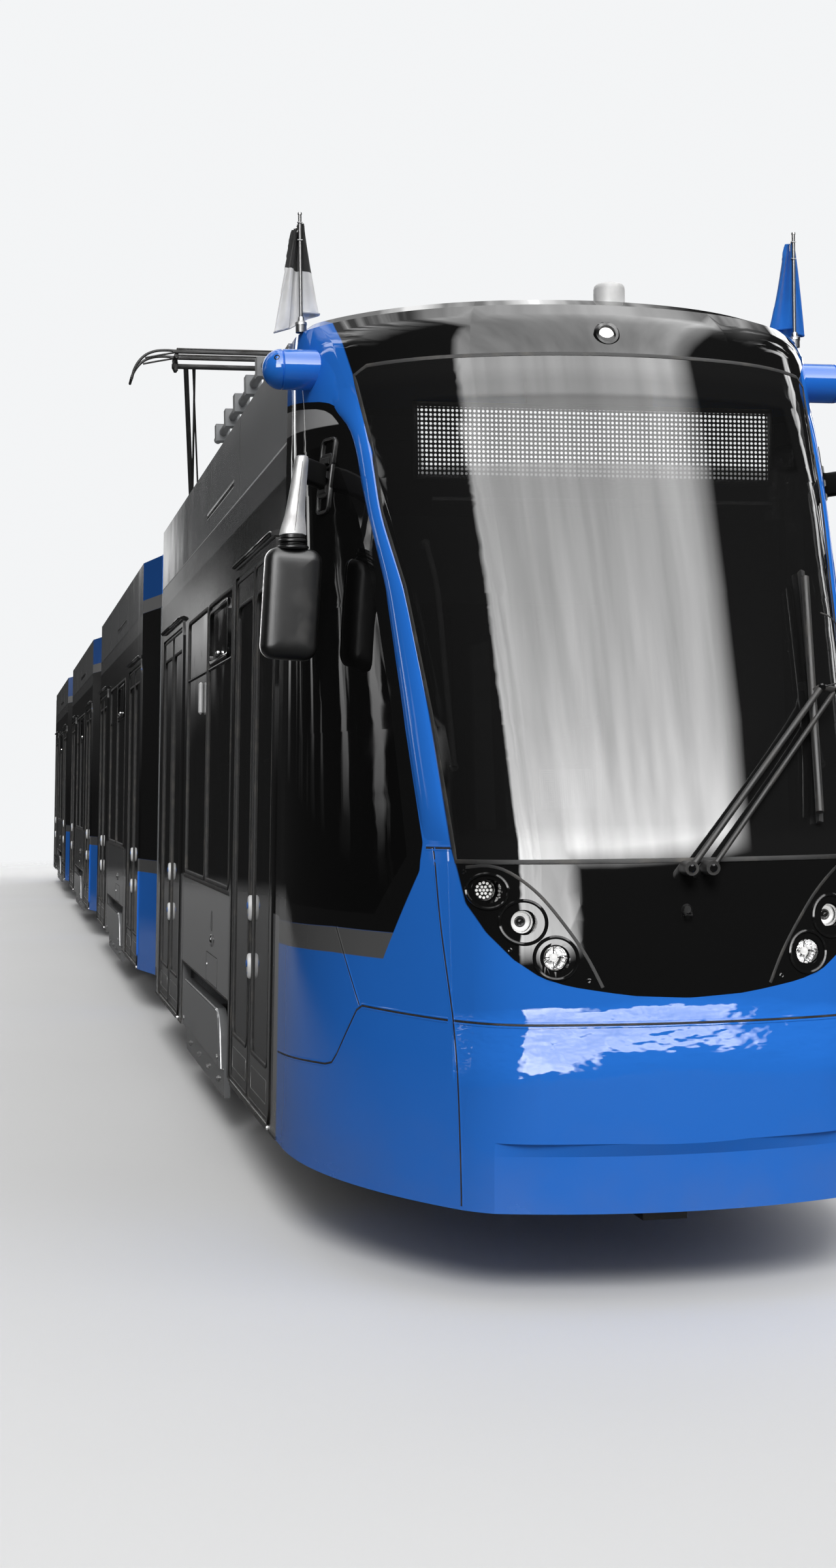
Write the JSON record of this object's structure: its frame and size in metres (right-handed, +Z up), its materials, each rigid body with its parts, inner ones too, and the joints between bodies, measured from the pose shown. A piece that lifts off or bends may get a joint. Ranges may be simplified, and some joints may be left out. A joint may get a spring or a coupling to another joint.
{
  "type": "articulated low-floor tram",
  "caption": "Four-section articulated low-floor tram with a curved glazed nose, double doors on one side, bogie covers, pleated gangway bellows and a raised roof pantograph.",
  "frame": {"origin": "middle of the vehicle's length and width, at the height of the wheel flange tips", "axes": "+Z up, -Y towards the nose, +X to the tram's left side"},
  "size_m": [2.5678, 36.882, 5.9497],
  "materials": {
    "frame_steel": "satin",
    "body_paint": "gloss",
    "roof_paint": "satin",
    "side_glass": "gloss",
    "door_frame": "gloss",
    "seat_plastic": "satin",
    "unit_paint": "satin",
    "bogie_steel": "satin",
    "wheel_steel": "satin",
    "bellows_fabric": "matte",
    "nose_paint": "gloss",
    "screen_glass": "gloss",
    "lamp_glass": "gloss",
    "black_plastic": "satin",
    "cab_plastic": "satin",
    "pole_steel": "satin",
    "flag_fabric": "matte",
    "tail_lamp_glass": "gloss",
    "arm_metal": "satin"
  },
  "bodies": {
    "section_a": {"underframe_a": "frame_steel", "side_walls_a": "body_paint", "roof_a": "roof_paint", "glazing_a": "side_glass", "door_leaves_a": "door_frame", "interior_a": "seat_plastic", "roof_units_a": "unit_paint", "bellows_ab": "bellows_fabric", "cab_shell": "nose_paint", "front_bumper": "nose_paint", "windscreen": "screen_glass", "cab_side_windows": "screen_glass", "headlamps": "lamp_glass", "mirrors": "black_plastic", "cab_fittings": "cab_plastic", "wiper": "black_plastic", "roof_poles": "pole_steel", "flag_cloths": "flag_fabric"},
    "bogie_a": {"bogie_a": "bogie_steel"},
    "wheelset_a_front": {"wheelset_a_front": "wheel_steel"},
    "wheelset_a_rear": {"wheelset_a_rear": "wheel_steel"},
    "section_b": {"underframe_b": "frame_steel", "side_walls_b": "body_paint", "roof_b": "roof_paint", "glazing_b": "side_glass", "door_leaves_b": "door_frame", "interior_b": "seat_plastic", "roof_units_b": "unit_paint", "bellows_bc": "bellows_fabric"},
    "bogie_b": {"bogie_b": "bogie_steel"},
    "wheelset_b_front": {"wheelset_b_front": "wheel_steel"},
    "wheelset_b_rear": {"wheelset_b_rear": "wheel_steel"},
    "section_c": {"underframe_c": "frame_steel", "side_walls_c": "body_paint", "roof_c": "roof_paint", "glazing_c": "side_glass", "door_leaves_c": "door_frame", "interior_c": "seat_plastic", "roof_units_c": "unit_paint", "bellows_cd": "bellows_fabric"},
    "bogie_c": {"bogie_c": "bogie_steel"},
    "wheelset_c_front": {"wheelset_c_front": "wheel_steel"},
    "wheelset_c_rear": {"wheelset_c_rear": "wheel_steel"},
    "section_d": {"underframe_d": "frame_steel", "side_walls_d": "body_paint", "roof_d": "roof_paint", "glazing_d": "side_glass", "door_leaves_d": "door_frame", "interior_d": "seat_plastic", "roof_units_d": "unit_paint", "tail_shell": "nose_paint", "tail_windows": "screen_glass", "tail_lamps": "tail_lamp_glass"},
    "bogie_d": {"bogie_d": "bogie_steel"},
    "wheelset_d_front": {"wheelset_d_front": "wheel_steel"},
    "wheelset_d_rear": {"wheelset_d_rear": "wheel_steel"},
    "pantograph_lower_arm": {"pantograph_lower_arm": "arm_metal"},
    "pantograph_upper_arm": {"pantograph_upper_arm": "arm_metal"},
    "pantograph_head": {"pantograph_head": "arm_metal"}
  },
  "joints": [
    {"name": "articulation_ab", "type": "hinge", "parent": "section_a", "child": "section_b", "pos_m": [0, -8.886, 0.33], "axis": [0, 0, 1], "range_deg": [-26, 26], "deforming": ["bellows_ab"]},
    {"name": "articulation_bc", "type": "hinge", "parent": "section_b", "child": "section_c", "pos_m": [0, 0, 0.33], "axis": [0, 0, 1], "range_deg": [-26, 26], "deforming": ["bellows_bc"]},
    {"name": "articulation_cd", "type": "hinge", "parent": "section_c", "child": "section_d", "pos_m": [0, 8.886, 0.33], "axis": [0, 0, 1], "range_deg": [-26, 26], "deforming": ["bellows_cd"]},
    {"name": "bogie_a_yaw", "type": "hinge", "parent": "section_a", "child": "bogie_a", "pos_m": [0, -13.329, 0.33], "axis": [0, 0, 1], "range_deg": [-4.5, 4.5]},
    {"name": "wheelset_a_front_spin", "type": "hinge", "parent": "bogie_a", "child": "wheelset_a_front", "pos_m": [0, -14.229, 0.325], "axis": [1, 0, 0], "continuous": true},
    {"name": "wheelset_a_rear_spin", "type": "hinge", "parent": "bogie_a", "child": "wheelset_a_rear", "pos_m": [0, -12.429, 0.325], "axis": [1, 0, 0], "continuous": true},
    {"name": "bogie_b_yaw", "type": "hinge", "parent": "section_b", "child": "bogie_b", "pos_m": [0, -4.443, 0.33], "axis": [0, 0, 1], "range_deg": [-4.5, 4.5]},
    {"name": "wheelset_b_front_spin", "type": "hinge", "parent": "bogie_b", "child": "wheelset_b_front", "pos_m": [0, -5.343, 0.325], "axis": [1, 0, 0], "continuous": true},
    {"name": "wheelset_b_rear_spin", "type": "hinge", "parent": "bogie_b", "child": "wheelset_b_rear", "pos_m": [0, -3.543, 0.325], "axis": [1, 0, 0], "continuous": true},
    {"name": "bogie_c_yaw", "type": "hinge", "parent": "section_c", "child": "bogie_c", "pos_m": [0, 4.443, 0.33], "axis": [0, 0, 1], "range_deg": [-4.5, 4.5]},
    {"name": "wheelset_c_front_spin", "type": "hinge", "parent": "bogie_c", "child": "wheelset_c_front", "pos_m": [0, 3.543, 0.325], "axis": [1, 0, 0], "continuous": true},
    {"name": "wheelset_c_rear_spin", "type": "hinge", "parent": "bogie_c", "child": "wheelset_c_rear", "pos_m": [0, 5.343, 0.325], "axis": [1, 0, 0], "continuous": true},
    {"name": "bogie_d_yaw", "type": "hinge", "parent": "section_d", "child": "bogie_d", "pos_m": [0, 13.329, 0.33], "axis": [0, 0, 1], "range_deg": [-4.5, 4.5]},
    {"name": "wheelset_d_front_spin", "type": "hinge", "parent": "bogie_d", "child": "wheelset_d_front", "pos_m": [0, 12.429, 0.325], "axis": [1, 0, 0], "continuous": true},
    {"name": "wheelset_d_rear_spin", "type": "hinge", "parent": "bogie_d", "child": "wheelset_d_rear", "pos_m": [0, 14.229, 0.325], "axis": [1, 0, 0], "continuous": true},
    {"name": "pantograph_raise", "type": "hinge", "parent": "section_b", "child": "pantograph_lower_arm", "pos_m": [0, -4.45, 3.64], "axis": [1, 0, 0], "range_deg": [-42, 6]},
    {"name": "pantograph_knee", "type": "hinge", "parent": "pantograph_lower_arm", "child": "pantograph_upper_arm", "pos_m": [0, -3.41937, 4.72986], "axis": [1, 0, 0], "range_deg": [-12, 84]},
    {"name": "pantograph_head_level", "type": "hinge", "parent": "pantograph_upper_arm", "child": "pantograph_head", "pos_m": [0, -4.45, 5.81972], "axis": [1, 0, 0], "range_deg": [-42, 6]}
  ],
  "couplings": [
    {"joint": "pantograph_knee", "follows": "pantograph_raise", "ratio": -2},
    {"joint": "pantograph_head_level", "follows": "pantograph_raise", "ratio": 1}
  ]
}
